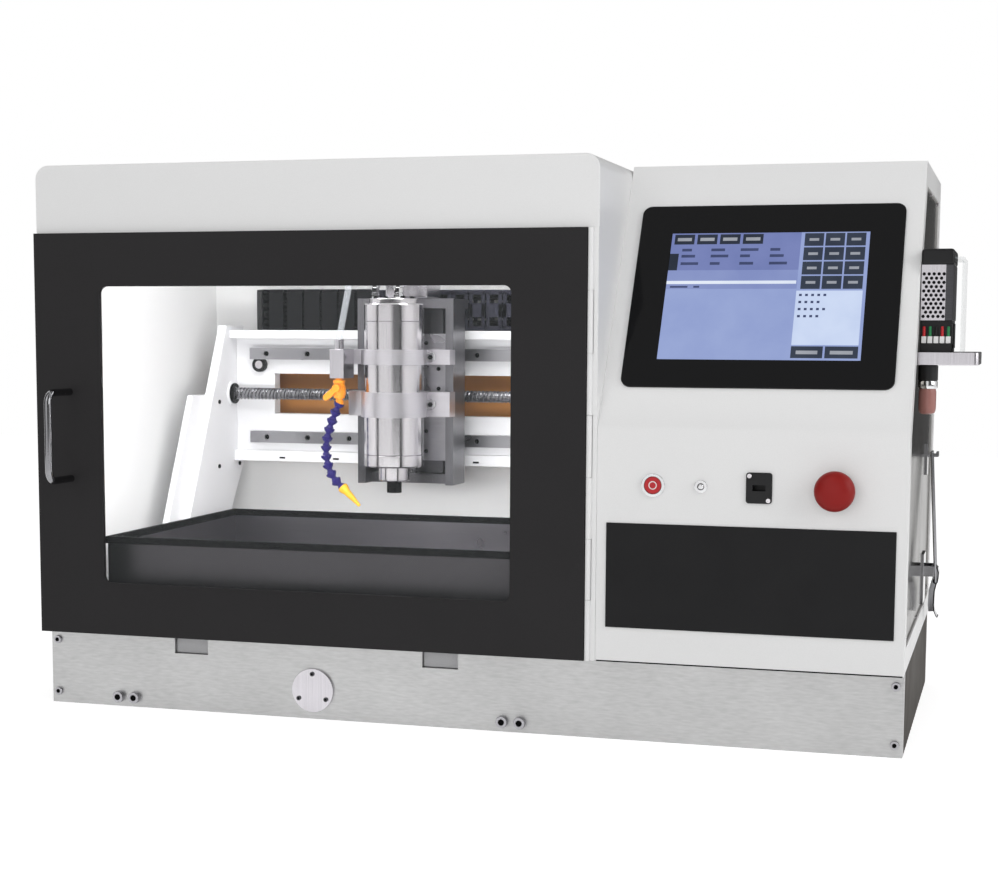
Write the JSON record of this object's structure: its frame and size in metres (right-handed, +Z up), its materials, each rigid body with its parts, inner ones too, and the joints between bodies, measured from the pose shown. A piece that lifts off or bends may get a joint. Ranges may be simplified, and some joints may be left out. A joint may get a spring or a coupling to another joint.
{
  "type": "desktop enclosed machining center",
  "caption": "Desktop enclosed milling machine: white hood with a windowed door over a moving gantry and spindle, leaning control box with a screen, metal base.",
  "frame": {"origin": "on the floor under the middle of the cabinet", "axes": "+X to the right along the front, +Y to the back, +Z up"},
  "size_m": [1.01, 0.5266, 0.602],
  "materials": {
    "white_paint": "satin",
    "base_metal": "brushed",
    "screw_metal": "dark",
    "plate_metal": "satin",
    "rail_metal": "ground",
    "screw_steel": "ground",
    "motor_black": "matt",
    "tray_steel": "polished",
    "trim_black": "matt",
    "liner_brown": "satin",
    "side_polished": "polished",
    "screen_black": "gloss",
    "screen_glow": "lit",
    "panel_black": "matt",
    "chrome": "polished",
    "supply_grey": "satin",
    "guard_clear": "clear",
    "cup_red": "clear tint",
    "door_dark": "satin",
    "window_clear": "clear",
    "spindle_steel": "satin",
    "nut_black": "blackened",
    "valve_orange": "gloss",
    "hose_purple": "gloss",
    "nozzle_yellow": "gloss",
    "hose_clear": "clear",
    "button_red": "gloss"
  },
  "bodies": {
    "cabinet": {"base_front_plate": "base_metal", "base_rear_plate": "base_metal", "base_sides": "base_metal", "base_floor": "base_metal", "base_screws": "screw_metal", "screw_end_cover": "plate_metal", "y_rails": "rail_metal", "y_motor": "motor_black", "bed": "base_metal", "tray": "tray_steel", "tray_trim": "trim_black", "work_table": "base_metal", "hood_shell": "white_paint", "rear_liner": "liner_brown", "hinge_hood_leaf": "white_paint", "control_shell": "white_paint", "control_side_panel": "side_polished", "screen_bezel": "screen_black", "screen_display": "screen_glow", "name_panel": "panel_black", "button_rings": "chrome", "data_socket": "panel_black", "stop_collar": "panel_black", "side_shelf": "plate_metal", "power_supply": "supply_grey", "supply_guard": "guard_clear", "oil_cup": "cup_red", "latch_plates": "chrome", "mains_inlet": "panel_black"},
    "door": {"door_panel": "door_dark", "door_window": "window_clear", "door_handle": "chrome"},
    "gantry": {"gantry_sides": "white_paint", "gantry_foot": "base_metal", "x_beam": "white_paint", "x_rails": "rail_metal", "x_motor": "motor_black", "drag_chain": "panel_black"},
    "y_screw": {"y_screw": "screw_steel"},
    "x_screw": {"x_screw": "screw_steel"},
    "z_screw": {"z_screw": "screw_steel"},
    "x_carriage": {"x_plate": "plate_metal", "z_frame": "plate_metal", "z_motor": "motor_black"},
    "z_carriage": {"spindle_plate": "plate_metal", "spindle_clamps": "plate_metal", "spindle_body": "spindle_steel", "coolant_block": "plate_metal", "coolant_valve": "valve_orange", "feed_hose": "hose_clear"},
    "rotor": {"collet_nut": "nut_black"},
    "valve_lever": {"valve_lever": "valve_orange"},
    "coolant_hose": {"coolant_hose": "hose_purple"},
    "coolant_nozzle": {"coolant_nozzle": "nozzle_yellow"},
    "power_cap": {"power_cap": "button_red"},
    "start_cap": {"start_cap": "chrome"},
    "stop_stem": {"stop_stem": "button_red"},
    "stop_head": {"stop_head": "button_red"},
    "latch_lever": {"latch_lever": "chrome"},
    "latch_bail": {"latch_bail": "chrome"}
  },
  "joints": [
    {"name": "door_hinge", "type": "hinge", "parent": "cabinet", "child": "door", "pos_m": [0.1553, -0.2366, 0.085], "axis": [0, 0, 1], "range_deg": [0, 110]},
    {"name": "gantry_y", "type": "slide", "parent": "cabinet", "child": "gantry", "axis": [0, -1, 0], "range_m": [0, 0.13]},
    {"name": "y_screw_spin", "type": "hinge", "parent": "cabinet", "child": "y_screw", "pos_m": [-0.156, 0, 0.032], "axis": [0, -1, 0], "range_deg": [-4690, 10]},
    {"name": "x_slide", "type": "slide", "parent": "gantry", "child": "x_carriage", "axis": [1, 0, 0], "range_m": [-0.15, 0.15]},
    {"name": "x_screw_spin", "type": "hinge", "parent": "gantry", "child": "x_screw", "pos_m": [-0.156, 0.15535, 0.3415], "axis": [1, 0, 0], "range_deg": [-5410, 5410]},
    {"name": "z_slide", "type": "slide", "parent": "x_carriage", "child": "z_carriage", "axis": [0, 0, 1], "range_m": [-0.05, 0.03]},
    {"name": "z_screw_spin", "type": "hinge", "parent": "x_carriage", "child": "z_screw", "pos_m": [-0.152, 0.11135, 0.341], "axis": [0, 0, 1], "range_deg": [-2170, 3610]},
    {"name": "spindle_spin", "type": "hinge", "parent": "z_carriage", "child": "rotor", "pos_m": [-0.152, 0.04, 0.26], "axis": [0, 0, 1], "continuous": true},
    {"name": "valve_turn", "type": "hinge", "parent": "z_carriage", "child": "valve_lever", "pos_m": [-0.219, 0.0222, 0.354], "axis": [0, -1, 0], "range_deg": [0, 90]},
    {"name": "hose_swing", "type": "hinge", "parent": "z_carriage", "child": "coolant_hose", "pos_m": [-0.219, 0.03, 0.336], "axis": [0, 1, 0], "range_deg": [-12, 12]},
    {"name": "nozzle_swing", "type": "hinge", "parent": "coolant_hose", "child": "coolant_nozzle", "pos_m": [-0.21581, 0.03, 0.23399], "axis": [0, 1, 0], "range_deg": [-18, 18]},
    {"name": "power_press", "type": "slide", "parent": "cabinet", "child": "power_cap", "axis": [0, 1, 0], "range_m": [0, 0.002], "stiffness_N_per_m": 500},
    {"name": "start_press", "type": "slide", "parent": "cabinet", "child": "start_cap", "axis": [0, 1, 0], "range_m": [0, 0.0015], "stiffness_N_per_m": 400},
    {"name": "stop_push", "type": "slide", "parent": "cabinet", "child": "stop_stem", "axis": [0, 1, 0], "range_m": [0, 0.005]},
    {"name": "stop_twist", "type": "hinge", "parent": "stop_stem", "child": "stop_head", "pos_m": [0.405, -0.2465, 0.2685], "axis": [0, 1, 0], "range_deg": [0, 30], "stiffness_Nm_per_rad": 0.1},
    {"name": "latch_lift", "type": "hinge", "parent": "cabinet", "child": "latch_lever", "pos_m": [0.483, 0.115, 0.15], "axis": [0, -1, 0], "range_deg": [0, 100]},
    {"name": "bail_swing", "type": "hinge", "parent": "latch_lever", "child": "latch_bail", "pos_m": [0.488, 0.115, 0.138], "axis": [0, -1, 0], "range_deg": [-101, 1]}
  ],
  "couplings": [
    {"joint": "y_screw_spin", "follows": "gantry_y", "rad_per_m": -628.32},
    {"joint": "x_screw_spin", "follows": "x_slide", "rad_per_m": -628.32},
    {"joint": "z_screw_spin", "follows": "z_slide", "rad_per_m": -1256.6},
    {"joint": "bail_swing", "follows": "latch_lift", "ratio": -1}
  ]
}
